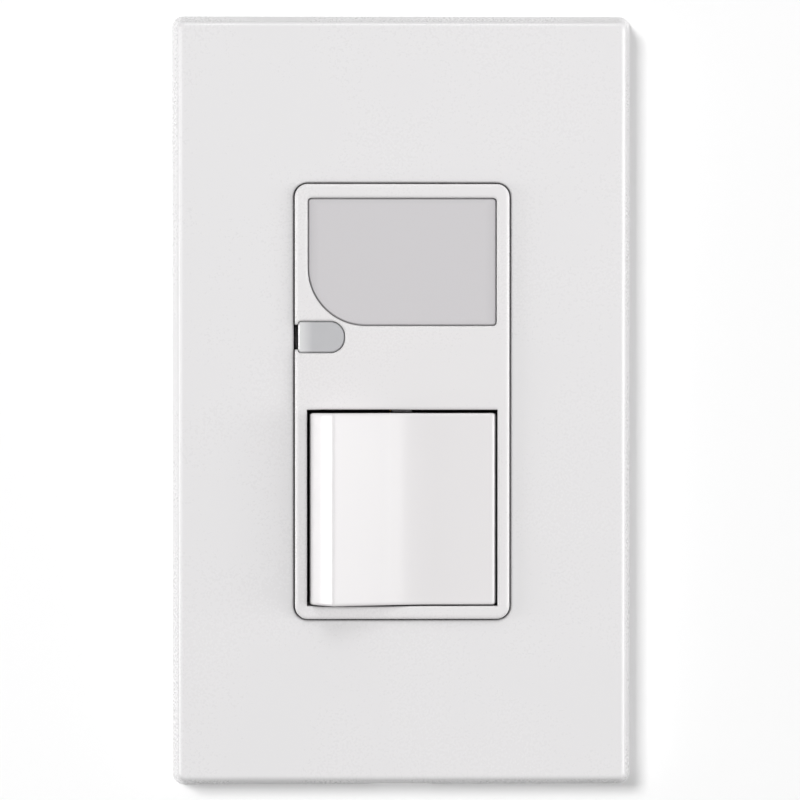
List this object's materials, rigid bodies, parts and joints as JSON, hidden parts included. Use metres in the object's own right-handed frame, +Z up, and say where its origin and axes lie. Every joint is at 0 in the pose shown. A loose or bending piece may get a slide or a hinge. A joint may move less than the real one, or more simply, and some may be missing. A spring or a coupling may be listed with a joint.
{
  "type": "light switch",
  "caption": "Wall rocker switch that tilts sideways, with a frosted guide light and a small light sensor above it, in a screwless wall plate.",
  "frame": {"origin": "centre of the device on the plane of the wall's surface", "axes": "+Y into the wall, along the device screws; +Z up; +X to the right as seen from the room"},
  "size_m": [0.0708, 0.0448, 0.1188],
  "materials": {
    "plate_white": "smooth, semi-gloss",
    "plate_inner": "matt",
    "device_white": "smooth, semi-gloss",
    "rocker_white": "smooth, semi-gloss",
    "lens_frosted": "frosted, slightly grey",
    "sensor_smoke": "smooth, smoky",
    "nylon": "smooth",
    "zinc_steel": "zinc plated",
    "strap_steel": "galvanised",
    "spring_steel": "drawn wire",
    "nickel_steel": "nickel plated",
    "green_steel": "green passivated",
    "fibre": "pressed fibre",
    "brass": "stamped",
    "silver": "silver alloy",
    "body_grey": "matt, moulded",
    "board_green": "solder mask",
    "led_body": "clear over yellow phosphor",
    "film_red": "epoxy dipped",
    "can_black": "satin",
    "resistor_tan": "lacquered",
    "tinned_copper": "tinned wire"
  },
  "bodies": {
    "device": {"wallplate_cover": "plate_white", "wallplate_subplate": "plate_inner", "subplate_screws": "zinc_steel", "device_screws": "zinc_steel", "screw_retainers": "fibre", "mounting_strap": "strap_steel", "face_cover": "device_white", "guide_light_lens": "lens_frosted", "light_well": "device_white", "sensor_window": "sensor_smoke", "fixed_contact": "silver", "line_terminal": "brass", "load_terminal": "brass", "neutral_terminal": "brass", "hot_screws": "brass", "neutral_screw": "nickel_steel", "wire_clamps": "zinc_steel", "ground_clip": "strap_steel", "ground_screw": "green_steel", "rear_body": "body_grey", "assembly_screws": "zinc_steel", "led_board": "board_green", "guide_leds": "led_body", "photosensor": "sensor_smoke", "film_capacitor": "film_red", "electrolytic_capacitor": "can_black", "resistors": "resistor_tan", "bridge_rectifier": "can_black", "transistor": "can_black", "board_leads": "tinned_copper"},
    "rocker_body": {"rocker": "rocker_white", "rocker_spring": "spring_steel", "spring_plunger": "nylon"},
    "contact_arm_body": {"contact_arm": "brass", "moving_contact": "silver"}
  },
  "joints": [
    {"name": "rocker_tilt", "type": "hinge", "parent": "device", "child": "rocker_body", "pos_m": [0, 0.0024, 0], "axis": [0, 0, 1], "range_deg": [-16.5, 0]},
    {"name": "contact_arm_tilt", "type": "hinge", "parent": "device", "child": "contact_arm_body", "pos_m": [0, 0.013, 0], "axis": [0, 0, 1], "range_deg": [0, 16.5]}
  ],
  "couplings": [
    {"joint": "contact_arm_tilt", "follows": "rocker_tilt", "ratio": -1}
  ]
}
